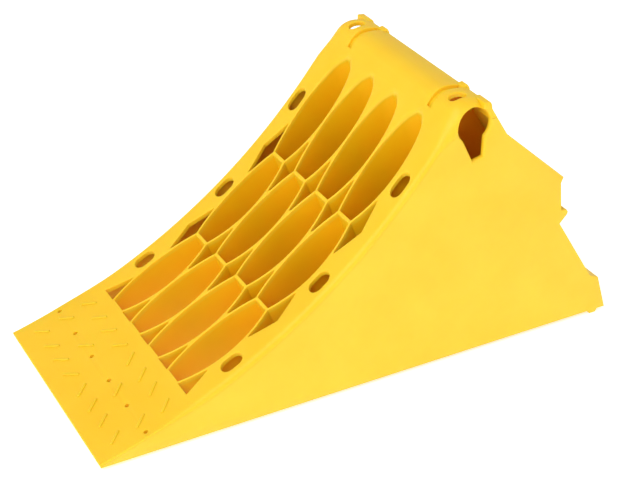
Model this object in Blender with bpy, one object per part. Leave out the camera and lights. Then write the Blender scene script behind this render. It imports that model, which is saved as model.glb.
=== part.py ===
"""Wheel chock with a pocketed, tyre-shaped ramp, split into the members of its moulding.

World frame, in metres: X runs from the toe to the heel, Y across, Z up. The origin is on the
ground, midway between toe and heel and midway between the two side walls.

Side outlines are written as (x, z), with x from the toe tip and z from the lower edge of the side
walls. The pockets are written as (u, y): u is measured square to the draw axis, the direction in
which the mould's cores pull out of the pockets.
"""
import math

import bmesh
import bpy
from mathutils import Matrix

# ---- driving dimensions -------------------------------------------------------------------------
LENGTH = 0.470              # toe tip to heel
WIDTH = 0.200               # over the side walls at the ground
CREST_HEIGHT = 0.2286       # top of the crest above the side walls' lower edge
WHEEL_RADIUS = 0.530        # tyre radius that the ramp is curved to
TOE_EDGE = 0.0032           # height of the plate's edge at the toe
TOE_SLOPE = math.radians(14.68)
WALL_LEAN = 0.008           # the side walls lean in by this much per metre of height

GAP = 0.0003                # clearance kept between neighbouring members
SKIN = 0.004                # toe plate, rails, crest and rear wall
WALL = 0.0036               # side walls
RIB = 0.003                 # stiffening ribs behind the pockets
FOOT = 0.003                # how far the feet reach below the side walls

DRAW_ANGLE = math.radians(20)   # the pockets lean back from the vertical
LATTICE_START = 0.0850          # u where the toe plate ends and the pockets begin
ROW_PITCH = 0.0895
ROWS = 3
COLUMN_PITCH = 0.0377
COLUMNS = 4
POCKET_LAND = 0.0015            # pocket's widest point to the middle of the wall beside it
POCKET_TAPER = 0.00815          # how much narrower half a pocket is at its ends
TIP_HALF_WIDTH = 0.0040         # upper ends of the highest row
POCKET_WEB = 0.0022             # free wall between a pocket and the gap beside it
END_WEB = 0.0028                # wall between two rows
POCKET_FLOOR = 0.002            # lower edge of the pocket walls above that of the side walls
SIDE_STEPS = 8

RAIL_EDGE_RADIUS = 0.005
EAR_EDGE_RADIUS = 0.013
RAIL_DEPTH = 0.0075             # how far the turned-down edge of a rail or an ear reaches
EAR_DEPTH = 0.014
HOLLOW = (0.5, 0.8)             # inner corner of a turned-down edge: depth and inset over its radius
SLOT_SHIFT = -0.0022            # slot's middle from the middle of its row, along u
SLOT_LENGTH = 0.0195
SLOT_WIDTH = 0.013
SLOT_INSET = 0.0037             # rail's inner edge to the slot's inner edge
NOTCH_REACH = 0.0075            # the gaps between pockets bite this far into a rail
NOTCH_HALF_LENGTH = 0.022

CREST_RADIUS = 0.017
BACK_RADIUS = 0.0506
BACK_RUN = 0.01518              # crest's rear edge behind its highest line
GROOVE_INSET = 0.0124           # groove's middle inside the pockets' outermost edge
GROOVE_WIDTH = 0.006
GROOVE_DEPTH = 0.0025
CORD_HOLE = (0.015, 0.009)      # oval hole through each ear: along X, along Y
CORD_HOLE_INSET = 0.020         # from the side wall's outer face
NUB_WIDTH = 0.009               # stop at the groove's rear end, from its outer side inwards
NUB_OUTLINE = ((-0.0039, 0.0010), (0.0012, 0.0022), (0.0032, -0.0010))  # from the crest's rear edge
NUB_FOOT = (-0.002, -0.0033)
FLANGE_INNER = 0.082            # the square rear edge of an ear starts this far from the middle
FLANGE_LENGTH = 0.008
FLANGE_OUTLINE = ((-0.0080, 0.0016), (0.0018, 0.0012), (0.0032, -0.0017))

HEEL_HEIGHT = 0.0326
HEEL_TAPER = 0.010
LEDGE = (0.009, 0.0044)         # run and rise of the step between the heel and the rear wall
HEEL_FOOT = (0.008, 0.009)      # distance of the foot from the heel, and its length

KEYHOLE_BACK = 0.0225           # keyhole's middle ahead of the rear wall's line, along X
KEYHOLE_DROP = 0.0190           # head's centre below the crest
KEYHOLE_RADIUS = 0.0145
KEYHOLE_SLOT = (0.019, 0.009)   # slot's width at its neck and at its lower end
KEYHOLE_LENGTH = 0.0305         # head's centre to the slot's lower end

HOOD_DROP = 0.033               # hood's root below the crest
HOOD_TIP_DROP = 0.0863
HOOD_REACH = 0.0265             # hood's tip behind the rear wall's line, along X
HOOD_LIP = (0.002, 0.005)       # blunt tip of a hood cheek: run and drop
SILL_DROP = 0.1178
SILL_RISE = 0.0123              # sill's top above its root
SILL_REACH = 0.0115             # bead's middle behind the rear wall's line, along X
BEAD_RADIUS = 0.0032
WINDOW_WIDTH = 0.120
WINDOW_MARGIN = 0.008           # hand window to the hood above it and to the sill below it

WALL_NOSE = (0.002, 0.004)      # blunt front tip of a side wall: run and height
TOE_RIB = 0.050                 # cross rib under the toe plate
TOE_RIB_REACH = 0.012           # its ends stay this far inside the side walls
BAR_SIZE = (0.014, 0.0026, 0.0011)
BAR_TURN = math.radians(42)
BAR_ROWS = ((0.020, (0.012, 0.035, 0.057, 0.081)), (0.042, (0.0345, 0.080)),
            (0.063, (0.011, 0.035, 0.0565, 0.0805)))
TOE_HOLES = (0.0407, 0.0187, 0.0374)    # x, first hole's y, pitch along Y
TOE_HOLE_RADIUS = 0.002

RAMP_STEPS = 30
RAIL_STEPS = 24
TOE_STEPS = 8
ROUND_STEPS = 6
CUT = 0.03                      # how far cutters run past what they cut

YELLOW = {"deck": (0.92, 0.62, 0.045), "pocket": (0.86, 0.50, 0.02), "wall": (0.88, 0.58, 0.06)}
COLLECTION = "wheel_chock"

# ---- derived places -----------------------------------------------------------------------------
ARC_X = -WHEEL_RADIUS * math.sin(TOE_SLOPE)
ARC_Z = TOE_EDGE + WHEEL_RADIUS * math.cos(TOE_SLOPE)
CREST_ANGLE = math.acos((ARC_Z - CREST_HEIGHT + CREST_RADIUS) / (WHEEL_RADIUS + CREST_RADIUS))
CREST_X = ARC_X + (WHEEL_RADIUS + CREST_RADIUS) * math.sin(CREST_ANGLE)
LATTICE_END = LATTICE_START + ROWS * ROW_PITCH
LATTICE_HALF = COLUMNS * COLUMN_PITCH / 2
POCKET_HALF_WIDTH = COLUMN_PITCH / 2 - POCKET_LAND
POCKET_END_HALF_WIDTH = POCKET_HALF_WIDTH - POCKET_TAPER
GROOVE_CENTRE = LATTICE_HALF - GROOVE_INSET
LEDGE_X = LENGTH - HEEL_TAPER - LEDGE[0]
LEDGE_Z = HEEL_HEIGHT + LEDGE[1]
BACK_ANGLE = -math.asin(BACK_RUN / BACK_RADIUS)     # slope of the crest at its rear edge
BACK_X = CREST_X + BACK_RUN
BACK_Z = CREST_HEIGHT - BACK_RADIUS * (1 - math.cos(BACK_ANGLE))
REAR_SLOPE = math.atan2(BACK_Z - LEDGE_Z, LEDGE_X - BACK_X)
SIN_DRAW, COS_DRAW = math.sin(DRAW_ANGLE), math.cos(DRAW_ANGLE)


def reach(z):
    """Half of the width over the side walls at height z."""
    return WIDTH / 2 - WALL_LEAN * max(z, 0.0)


def inner(z):
    """Half of the width that is free between the side walls at height z."""
    return reach(z) - WALL - GAP


def rear_x(z, depth=0.0):
    """x of the rear wall's plane at height z, a depth below its outer face."""
    return LEDGE_X - (z - LEDGE_Z) / math.tan(REAR_SLOPE) - depth / math.sin(REAR_SLOPE)


def to_uw(x, z):
    """Turn a side point into the draw frame."""
    return x * COS_DRAW + z * SIN_DRAW, z * COS_DRAW - x * SIN_DRAW


def from_uw(u, w):
    """Turn a point of the draw frame into a side point."""
    return u * COS_DRAW - w * SIN_DRAW, u * SIN_DRAW + w * COS_DRAW


def ramp_at_u(u, depth=0.0):
    """Side point on the ramp, or a depth below it, on the draw line at u."""
    centre_u, centre_w = to_uw(ARC_X, ARC_Z)
    radius = WHEEL_RADIUS + depth
    return from_uw(u, centre_w - math.sqrt(radius ** 2 - (u - centre_u) ** 2))


def ramp_angle(x, z):
    """Slope of the ramp at a side point."""
    return math.atan2(x - ARC_X, ARC_Z - z)


def floor_at_u(u, z):
    """Side point at height z on the draw line at u."""
    return (u - z * SIN_DRAW) / COS_DRAW, z


def arc_point(centre, radius, angle, depth):
    """Point of a hollow (radius > 0) or a crowned (radius < 0) arc, a depth inside the surface."""
    x, z = centre
    distance = radius + depth
    return x + distance * math.sin(angle), z - distance * math.cos(angle)


def crest_stations(start):
    """Stations over the ear or barrel, from slope start to the rear wall: (x, z, inward direction)."""
    stations = []
    arcs = [((ARC_X, ARC_Z), WHEEL_RADIUS, start, CREST_ANGLE, 2),
            ((CREST_X, CREST_HEIGHT - CREST_RADIUS), -CREST_RADIUS, CREST_ANGLE, 0.0, ROUND_STEPS),
            ((CREST_X, CREST_HEIGHT - BACK_RADIUS), -BACK_RADIUS, 0.0, BACK_ANGLE, 3)]
    for index, (centre, radius, first, last, steps) in enumerate(arcs):
        for step in range(0 if index == 0 else 1, steps + 1):
            angle = first + (last - first) * step / steps
            x, z = arc_point(centre, radius, angle, 0.0)
            stations.append((x, z, angle))
    return stations


def ramp_stations(start, end, steps):
    """Stations along the ramp between two slopes: (x, z, slope)."""
    stations = []
    for step in range(steps + 1):
        angle = start + (end - start) * step / steps
        x, z = arc_point((ARC_X, ARC_Z), WHEEL_RADIUS, angle, 0.0)
        stations.append((x, z, angle))
    return stations


def world(x, y, z):
    """World place of a side point at y."""
    return x - LENGTH / 2, y, z + FOOT


# ---- scene, materials and generic solids ----------------------------------------------------------
def clear_scene():
    """Remove every object of the scene."""
    for found in list(bpy.data.objects):
        bpy.data.objects.remove(found, do_unlink=True)


def new_collection(name):
    """Add a collection to the scene."""
    collection = bpy.data.collections.new(name)
    bpy.context.scene.collection.children.link(collection)
    return collection


clear_scene()
PARTS = new_collection(COLLECTION)
CUTTERS = new_collection("cutters")


def plastic(name, tint):
    """Satin moulded polyethylene in one of the yellows that the light gives it."""
    material = bpy.data.materials.new(name + "_plastic")
    material.use_nodes = True
    shader = material.node_tree.nodes["Principled BSDF"]
    shader.inputs["Base Color"].default_value = (*YELLOW[tint], 1.0)
    shader.inputs["Roughness"].default_value = 0.42
    shader.inputs["Metallic"].default_value = 0.0
    return material


def finish(name, mesh_data, tint=None):
    """Make an object of a bmesh: a member with its material, or a cutter where no tint is given."""
    bmesh.ops.recalc_face_normals(mesh_data, faces=mesh_data.faces)
    mesh = bpy.data.meshes.new(name)
    mesh_data.to_mesh(mesh)
    mesh_data.free()
    made = bpy.data.objects.new(name, mesh)
    if tint:
        PARTS.objects.link(made)
        mesh.materials.append(plastic(name, tint))
    else:
        CUTTERS.objects.link(made)
        made.hide_render = True
        made.display_type = "WIRE"
    return made


def add_loop(mesh_data, points):
    """Add a closed loop of edges through world points and return its edges."""
    verts = [mesh_data.verts.new(point) for point in points]
    return [mesh_data.edges.new((verts[i - 1], verts[i])) for i in range(len(verts))]


def loft(name, loops, tint=None, ring=False):
    """Skin loops of equal length in order. A ring joins the last to the first, else ends are capped."""
    mesh_data = bmesh.new()
    edges = [add_loop(mesh_data, points) for points in loops]
    pairs = list(zip(edges, edges[1:]))
    if ring:
        pairs.append((edges[-1], edges[0]))
    for first, second in pairs:
        bmesh.ops.bridge_loops(mesh_data, edges=first + second)
    if not ring:
        for end in (edges[0], edges[-1]):
            bmesh.ops.edgeloop_fill(mesh_data, edges=end)
    return finish(name, mesh_data, tint)


def plank(name, outline, near, far, tint=None):
    """Solid with a side outline, between two faces whose y is a function of height."""
    sides = [[world(x, face(z), z) for x, z in outline] for face in (near, far)]
    return loft(name, sides, tint)


def between(value):
    """A face at constant y, for plank."""
    return lambda z: value


def draw_prism(name, outline, low, high, tint=None):
    """Solid with a (u, y) outline, along the draw axis between two values of w."""
    loops = []
    for w in (low, high):
        loop = []
        for u, y in outline:
            x, z = from_uw(u, w)
            loop.append(world(x, y, z))
        loops.append(loop)
    return loft(name, loops, tint)


def combine(target, other, operation):
    """Cut a cutter from a member, or weld it on."""
    modifier = target.modifiers.new(operation.lower() + "_" + other.name, "BOOLEAN")
    modifier.operation = operation
    modifier.solver = "EXACT"
    modifier.object = other


def mirrored(source, name, tint):
    """A copy of a member on the other side of the middle plane, with its cutters."""
    mesh_data = bmesh.new()
    mesh_data.from_mesh(source.data)
    bmesh.ops.transform(mesh_data, matrix=Matrix.Scale(-1.0, 4, (0.0, 1.0, 0.0)), verts=mesh_data.verts)
    return finish(name, mesh_data, tint)


def pair(name, make, tint, cuts=()):
    """Make a left-hand member, at +Y, and its right-hand mirror image, each with its own cutters."""
    left = make("left_" + name, tint)
    right = mirrored(left, "right_" + name, tint)
    for cut_name, make_cut, operation in cuts:
        left_cut = make_cut("left_" + cut_name)
        right_cut = mirrored(left_cut, "right_" + cut_name, None)
        combine(left, left_cut, operation)
        combine(right, right_cut, operation)


def oval(centre_u, centre_y, length, width, steps=ROUND_STEPS):
    """Outline of a slot with round ends, its length along the first axis."""
    radius = width / 2
    offset = max(length / 2 - radius, 0.0)
    points = []
    for sign, start in ((1, -math.pi / 2), (-1, math.pi / 2)):
        for step in range(steps + 1):
            angle = start + math.pi * step / steps
            points.append((centre_u + sign * offset + radius * math.cos(angle),
                           centre_y + radius * math.sin(angle)))
    return points


# ---- pockets ------------------------------------------------------------------------------------
def side_arc(half_length, middle, end):
    """Half-width of a pocket along its length, as a circular arc from its middle to one end."""
    drop = middle - end
    radius = (half_length ** 2 + drop ** 2) / (2 * drop)
    return lambda distance: middle - radius + math.sqrt(radius ** 2 - distance ** 2)


def pocket_outlines(row):
    """Inner and outer half-widths of a row's pockets, as (u, half-width) from end to end."""
    middle_u = LATTICE_START + (row + 0.5) * ROW_PITCH
    half_length = (ROW_PITCH - END_WEB) / 2
    stretch = (ROW_PITCH - GAP) / (ROW_PITCH - END_WEB)
    widest = (COLUMN_PITCH - GAP) / 2
    upper_end = TIP_HALF_WIDTH if row == ROWS - 1 else POCKET_END_HALF_WIDTH
    inside, outside = [], []
    for step in range(SIDE_STEPS + 1):
        distance = half_length * (2 * step / SIDE_STEPS - 1)
        end = POCKET_END_HALF_WIDTH if distance < 0 else upper_end
        wide = side_arc(half_length, POCKET_HALF_WIDTH, end)(distance)
        inside.append((middle_u + distance, wide))
        outside.append((middle_u + distance * stretch, min(wide + POCKET_WEB, widest)))
    return inside, outside


def pocket_cell(row, column):
    """One pocket of the ramp: a lens-shaped tube along the draw axis, open above and below."""
    middle_y = (column - (COLUMNS - 1) / 2) * COLUMN_PITCH
    inside, outside = pocket_outlines(row)

    def loop(points, on_ramp):
        both = [(u, middle_y + y) for u, y in points] + [(u, middle_y - y) for u, y in reversed(points)]
        placed = []
        for u, y in both:
            x, z = ramp_at_u(u) if on_ramp else floor_at_u(u, POCKET_FLOOR)
            placed.append(world(x, y, z))
        return placed

    name = "pocket_row%d_column%d" % (row + 1, column + 1)
    rings = [loop(outside, False), loop(outside, True), loop(inside, True), loop(inside, False)]
    return loft(name, rings, "pocket", ring=True)


def deck_finger(name, y, sides, end_room=COLUMN_PITCH / 2):
    """Pointed finger of the deck between the upper ends of two pockets, or beside the last one.

    Past the pockets' ends it is no wider, to either side of y, than end_room.
    """
    loops = []
    outside = pocket_outlines(ROWS - 1)[1]
    stations = [(u, COLUMN_PITCH / 2 - wide - GAP) for u, wide in outside[SIDE_STEPS // 2:]]
    stations = [(u, room) for u, room in stations if room > GAP]
    end_room = min(end_room, stations[-1][1])
    stations += [(LATTICE_END, end_room), (LATTICE_END + SKIN, end_room)]
    for u, room in stations:
        high, low = ramp_at_u(u), ramp_at_u(u, SKIN)
        y0, y1 = y + sides[0] * room, y + sides[1] * room
        loops.append([world(high[0], y0, high[1]), world(high[0], y1, high[1]),
                      world(low[0], y1, low[1]), world(low[0], y0, low[1])])
    return loft(name, loops)


# ---- toe ----------------------------------------------------------------------------------------
def toe_plate():
    """Front plate up to the first row of pockets, with its raised grip bars and drain holes."""
    end_top = ramp_at_u(LATTICE_START - GAP)
    end_low = ramp_at_u(LATTICE_START - GAP, SKIN)
    top = [(x, z) for x, z, _ in ramp_stations(TOE_SLOPE, ramp_angle(*end_top), TOE_STEPS)]
    low_start = math.acos(ARC_Z / (WHEEL_RADIUS + SKIN))
    low_end = ramp_angle(*end_low)
    under = []
    for step in range(TOE_STEPS + 1):
        angle = low_end + (low_start - low_end) * step / TOE_STEPS
        under.append(arc_point((ARC_X, ARC_Z), WHEEL_RADIUS, angle, SKIN))
    outline = top + under + [(0.0, 0.0)]
    plate = plank("toe_plate", outline, lambda z: -reach(z), reach, "deck")
    holes = bmesh.new()
    x, first, pitch = TOE_HOLES
    for index in range(3):
        for side in (-1, 1):
            spot = Matrix.Translation(world(x, side * (first + index * pitch), TOE_EDGE))
            bmesh.ops.create_cone(holes, cap_ends=True, segments=12, radius1=TOE_HOLE_RADIUS,
                                  radius2=TOE_HOLE_RADIUS, depth=2 * CUT, matrix=spot)
    combine(plate, finish("toe_holes", holes), "DIFFERENCE")
    bars = bmesh.new()
    for x, places in BAR_ROWS:
        z = ARC_Z - math.sqrt(WHEEL_RADIUS ** 2 - (x - ARC_X) ** 2)
        tilt = Matrix.Rotation(-ramp_angle(x, z), 4, "Y")
        for y in places:
            for side in (-1, 1):
                turn = Matrix.Rotation(side * -BAR_TURN, 4, "Z")
                size = Matrix.Diagonal((BAR_SIZE[0], BAR_SIZE[1], 2 * BAR_SIZE[2], 1.0))
                spot = Matrix.Translation(world(x, side * y, z))
                bmesh.ops.create_cube(bars, size=1.0, matrix=spot @ tilt @ turn @ size)
    combine(plate, finish("toe_bars", bars), "UNION")


def toe_rib():
    """Cross rib under the toe plate. Its lower face is the front foot."""
    x0, x1 = TOE_RIB, TOE_RIB + WALL
    tops = [ARC_Z - math.sqrt((WHEEL_RADIUS + SKIN + GAP) ** 2 - (x - ARC_X) ** 2) for x in (x0, x1)]
    outline = [(x0, -FOOT), (x1, -FOOT), (x1, tops[1] - GAP), (x0, tops[0] - GAP)]
    half = WIDTH / 2 - WALL - TOE_RIB_REACH
    plank("toe_rib", outline, between(-half), between(half), "wall")


# ---- rails, crest and ears ------------------------------------------------------------------------
def edge_section(y_in, radius, edge_depth, x, z, angle):
    """Cross-section of a rail or an ear at a station: a plate with a rounded, turned-down edge."""

    def place(depth, y):
        px, pz = x + depth * math.sin(angle), z - depth * math.cos(angle)
        return world(px, y, pz)

    def outer(depth):
        return reach(z - depth * math.cos(angle))

    points = [place(0.0, y_in), place(0.0, outer(0.0) - radius)]
    for step in range(1, ROUND_STEPS + 1):
        turn = math.pi / 2 * step / ROUND_STEPS
        depth = radius * (1 - math.cos(turn))
        points.append(place(depth, outer(depth) - radius * (1 - math.sin(turn))))
    points += [place(edge_depth, outer(edge_depth)), place(edge_depth, outer(edge_depth) - WALL),
               place(max(SKIN, radius * HOLLOW[0]), outer(SKIN) - WALL),
               place(SKIN, outer(SKIN) - max(WALL, radius * HOLLOW[1])), place(SKIN, y_in)]
    return points


def rail(name, tint):
    """Strip beside the pockets, flush with their walls, with a rounded outer edge."""
    first = ramp_angle(*ramp_at_u(LATTICE_START + GAP))
    last = ramp_angle(*ramp_at_u(LATTICE_END - GAP))
    stations = ramp_stations(first, last, RAIL_STEPS)
    sizes = (LATTICE_HALF + GAP, RAIL_EDGE_RADIUS, RAIL_DEPTH)
    return loft(name, [edge_section(*sizes, *station) for station in stations], tint)


def rail_slots(name):
    """Through slots of one rail."""
    mesh_data = bmesh.new()
    middle_y = LATTICE_HALF + SLOT_INSET + SLOT_WIDTH / 2
    for row in range(ROWS):
        u = LATTICE_START + (row + 0.5) * ROW_PITCH + SLOT_SHIFT
        w = to_uw(*ramp_at_u(u))[1]
        slot = draw_prism(name + str(row), oval(u, middle_y, SLOT_LENGTH, SLOT_WIDTH),
                          w - 4 * RAIL_DEPTH, w + 4 * RAIL_DEPTH)
        mesh_data.from_mesh(slot.data)
        bpy.data.objects.remove(slot)
    return finish(name, mesh_data)


def rail_notches(name):
    """Notches in a rail's inner edge that complete the gaps between the pockets."""
    mesh_data = bmesh.new()
    y_in = LATTICE_HALF - SKIN
    for row in range(ROWS):
        u = LATTICE_START + row * ROW_PITCH
        w = to_uw(*ramp_at_u(u))[1]
        outline = [(u - NOTCH_HALF_LENGTH, LATTICE_HALF), (u, LATTICE_HALF + NOTCH_REACH),
                   (u + NOTCH_HALF_LENGTH, LATTICE_HALF), (u + NOTCH_HALF_LENGTH, y_in),
                   (u - NOTCH_HALF_LENGTH, y_in)]
        notch = draw_prism(name + str(row), outline, w - 4 * RAIL_DEPTH, w + 4 * RAIL_DEPTH)
        mesh_data.from_mesh(notch.data)
        bpy.data.objects.remove(notch)
    return finish(name, mesh_data)


def crest():
    """Rounded crest from the pockets' upper ends over to the rear wall, with a groove at each end."""
    start = ramp_angle(*ramp_at_u(LATTICE_END + GAP))
    half = GROOVE_CENTRE + GROOVE_WIDTH / 2 - GAP
    step_in = GROOVE_CENTRE - GROOVE_WIDTH / 2
    loops = []
    for x, z, angle in crest_stations(start):
        section = [(0.0, -step_in), (0.0, step_in), (GROOVE_DEPTH, step_in), (GROOVE_DEPTH, half),
                   (SKIN, half), (SKIN, -half), (GROOVE_DEPTH, -half), (GROOVE_DEPTH, -step_in)]
        loops.append([world(x + depth * math.sin(angle), y, z - depth * math.cos(angle))
                      for depth, y in section])
    made = loft("crest", loops, "deck")
    for index in range(1, COLUMNS):
        y = (index - COLUMNS / 2) * COLUMN_PITCH
        combine(made, deck_finger("crest_finger%d" % index, y, (-1, 1)), "UNION")
    foot_z = BACK_Z + NUB_FOOT[1]
    outline = [(BACK_X + x, BACK_Z + z) for x, z in NUB_OUTLINE]
    outline += [(rear_x(foot_z), foot_z), (BACK_X + NUB_FOOT[0], foot_z)]
    left = plank("left_nub", outline, between(half - NUB_WIDTH), between(half))
    combine(made, left, "UNION")
    combine(made, mirrored(left, "right_nub", None), "UNION")


def ear(name, tint):
    """Crest's end beside the groove, from the rail over to the rear wall."""
    start = ramp_angle(*ramp_at_u(LATTICE_END + GAP))
    sizes = (GROOVE_CENTRE + GROOVE_WIDTH / 2, EAR_EDGE_RADIUS, EAR_DEPTH)
    return loft(name, [edge_section(*sizes, *station) for station in crest_stations(start)], tint)


def ear_finger(name):
    """Finger of the deck between the outermost pocket and the rail."""
    end_room = LATTICE_HALF - GROOVE_CENTRE - GROOVE_WIDTH / 2 - GAP
    return deck_finger(name, LATTICE_HALF, (-1, 0), end_room)


def ear_cord_hole(name):
    """Oval hole through an ear."""
    y = reach(CREST_HEIGHT) - CORD_HOLE_INSET
    outline = oval(0.0, 0.0, *CORD_HOLE)
    loops = [[world(CREST_X + a, y + b, CREST_HEIGHT + level) for a, b in outline]
             for level in (-CUT, CUT)]
    return loft(name, loops)


def ear_flange(name):
    """Square rear edge of an ear, standing a little over the crest."""
    z_low = BACK_Z - max(SKIN, EAR_EDGE_RADIUS * HOLLOW[0])
    outline = [(BACK_X - FLANGE_LENGTH, z_low)]
    outline += [(BACK_X + x, BACK_Z + z) for x, z in FLANGE_OUTLINE]
    outline += [(rear_x(z_low + GAP), z_low + GAP), (rear_x(z_low), z_low)]
    return plank(name, outline, between(FLANGE_INNER), reach)


def ear_corner(name):
    """Rear corner of an ear's turned-down edge, out to the rear wall's line."""
    z_low = BACK_Z - EAR_DEPTH * math.cos(BACK_ANGLE)
    z_top = BACK_Z - SKIN
    outline = [(BACK_X - FLANGE_LENGTH, z_low), (BACK_X - FLANGE_LENGTH, z_top),
               (rear_x(z_top, GAP), z_top), (rear_x(z_low, GAP), z_low)]
    return plank(name, outline, lambda z: reach(z) - WALL + GAP, lambda z: reach(z) - GAP)


# ---- side walls -----------------------------------------------------------------------------------
def keyhole_outline():
    """Outline of the keyhole: a round head over a slot that narrows downwards."""
    centre_z = CREST_HEIGHT - KEYHOLE_DROP
    centre_x = rear_x(centre_z) - KEYHOLE_BACK
    neck, foot = KEYHOLE_SLOT[0] / 2, KEYHOLE_SLOT[1] / 2
    open_angle = math.asin(neck / KEYHOLE_RADIUS)
    points = []
    steps = 3 * ROUND_STEPS
    for step in range(steps + 1):
        turn = open_angle + (2 * math.pi - 2 * open_angle) * step / steps
        points.append((centre_x + KEYHOLE_RADIUS * math.sin(turn),
                       centre_z - KEYHOLE_RADIUS * math.cos(turn)))
    shift = KEYHOLE_SLOT[1] / 2
    points.append((centre_x + shift - foot, centre_z - KEYHOLE_LENGTH))
    points.append((centre_x + shift + foot, centre_z - KEYHOLE_LENGTH + foot / 2))
    return points


def side_outline():
    """Outline of a side wall under the toe plate, the rail and the ear, with the hood's cheek."""
    low_start = math.acos((ARC_Z - WALL_NOSE[1]) / (WHEEL_RADIUS + SKIN + GAP))
    toe_end = ramp_angle(*ramp_at_u(LATTICE_START))
    outline = []
    for step in range(ROUND_STEPS + 1):
        angle = low_start + (toe_end - low_start) * step / ROUND_STEPS
        outline.append(arc_point((ARC_X, ARC_Z), WHEEL_RADIUS, angle, SKIN + GAP))
    ear_start = ramp_angle(*ramp_at_u(LATTICE_END))
    for depth, stations in ((RAIL_DEPTH + GAP, ramp_stations(toe_end, ear_start, RAMP_STEPS)),
                            (EAR_DEPTH + GAP, crest_stations(ear_start))):
        for x, z, angle in stations:
            outline.append((x + depth * math.sin(angle), z - depth * math.cos(angle)))
    outline.append((rear_x(outline[-1][1]), outline[-1][1]))
    hood_z, tip_z, sill_z = (CREST_HEIGHT - drop for drop in (HOOD_DROP, HOOD_TIP_DROP, SILL_DROP))
    tip_x = rear_x(tip_z) + HOOD_REACH
    outline += [(rear_x(hood_z), hood_z), (tip_x, tip_z), (tip_x - HOOD_LIP[0], tip_z - HOOD_LIP[1]),
                (rear_x(sill_z) + SILL_REACH - BEAD_RADIUS, sill_z),
                (rear_x(sill_z - SILL_RISE), sill_z - SILL_RISE)]
    outline += [(LEDGE_X, LEDGE_Z), (LEDGE_X + LEDGE[0], HEEL_HEIGHT), (LENGTH, 0.0)]
    foot_end = LENGTH - HEEL_FOOT[0]
    foot_start = foot_end - HEEL_FOOT[1]
    outline += [(foot_end, 0.0), (foot_end - FOOT / 2, -FOOT), (foot_start + FOOT / 2, -FOOT),
                (foot_start, 0.0), (outline[0][0] - WALL_NOSE[0], 0.0)]
    return outline


def side_wall(name, tint):
    """Flat side of the chock, from the ground up to the rail."""
    return plank(name, side_outline(), lambda z: reach(z) - WALL, reach, tint)


def keyhole(name):
    """Keyhole through a side wall and, above it, through the ear."""
    return plank(name, keyhole_outline(), lambda z: reach(z) - 5 * WALL, lambda z: reach(z) + WALL)


# ---- rear ---------------------------------------------------------------------------------------
def rear_wall():
    """Sloping rear wall between the crest and the heel, with the hand window under the hood."""
    top_z = BACK_Z - max(SKIN, EAR_EDGE_RADIUS * HOLLOW[0]) - GAP
    low_z = LEDGE_Z
    outline = [(rear_x(low_z), low_z), (rear_x(top_z), top_z), (rear_x(top_z, SKIN), top_z),
               (rear_x(low_z, SKIN), low_z)]
    wall = plank("rear_wall", outline, lambda z: -inner(z), inner, "wall")
    high = CREST_HEIGHT - HOOD_DROP - WINDOW_MARGIN - SKIN
    low = CREST_HEIGHT - SILL_DROP + WINDOW_MARGIN
    middle, length = (high + low) / 2, high - low
    loops = []
    for shift in (-CUT, CUT):
        loops.append([world(rear_x(z) + shift, y, z)
                      for y, z in oval(0.0, middle, WINDOW_WIDTH, length)])
    combine(wall, loft("hand_window", loops), "DIFFERENCE")


def meet_rear(point, slope, clearance):
    """Where a line through a side point meets a plane that clears the rear wall's outer face."""
    x, z = point
    fall = math.tan(REAR_SLOPE)
    rear = LEDGE_X + clearance / math.sin(REAR_SLOPE) - (z - slope * x - LEDGE_Z) / fall
    met = rear / (1 + slope / fall)
    return met, z + slope * (met - x)


def grip_hood():
    """Sloping hood over the hand window, between the cheeks of the side walls."""
    root_z, tip_z = CREST_HEIGHT - HOOD_DROP, CREST_HEIGHT - HOOD_TIP_DROP
    root, tip = (rear_x(root_z), root_z), (rear_x(tip_z) + HOOD_REACH, tip_z)
    slope = (tip[1] - root[1]) / (tip[0] - root[0])
    angle = math.atan(-slope)
    under = (tip[0] - SKIN * math.sin(angle), tip[1] - SKIN * math.cos(angle))
    outline = [meet_rear(tip, slope, GAP), tip, under, meet_rear(under, slope, GAP)]
    plank("grip_hood", outline, lambda z: -inner(z), inner, "wall")


def grip_sill():
    """Upturned sill under the hand window, ending in a rounded bead."""
    sill_z = CREST_HEIGHT - SILL_DROP
    base_z = sill_z - SILL_RISE
    bead = (rear_x(sill_z) + SILL_REACH, sill_z - BEAD_RADIUS)
    outline = [meet_rear((bead[0], base_z), 0.0, GAP)]
    for step in range(2 * ROUND_STEPS + 1):
        turn = -math.pi / 4 + (math.pi + math.pi / 8) * step / (2 * ROUND_STEPS)
        outline.append((bead[0] + BEAD_RADIUS * math.cos(turn), bead[1] + BEAD_RADIUS * math.sin(turn)))
    outline.append(meet_rear((bead[0], sill_z - 2 * BEAD_RADIUS), 0.0, GAP))
    plank("grip_sill", outline, lambda z: -inner(z), inner, "wall")


def heel():
    """Heel band across the rear of the base, standing on the ground line."""
    outline = [(LEDGE_X, LEDGE_Z - GAP), (LEDGE_X + LEDGE[0], HEEL_HEIGHT), (LENGTH, 0.0),
               (LENGTH - SKIN, 0.0), (LEDGE_X + LEDGE[0] - SKIN, HEEL_HEIGHT - SKIN),
               (LEDGE_X - SKIN, LEDGE_Z - SKIN)]
    plank("heel_band", outline, lambda z: -inner(z), inner, "wall")


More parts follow.
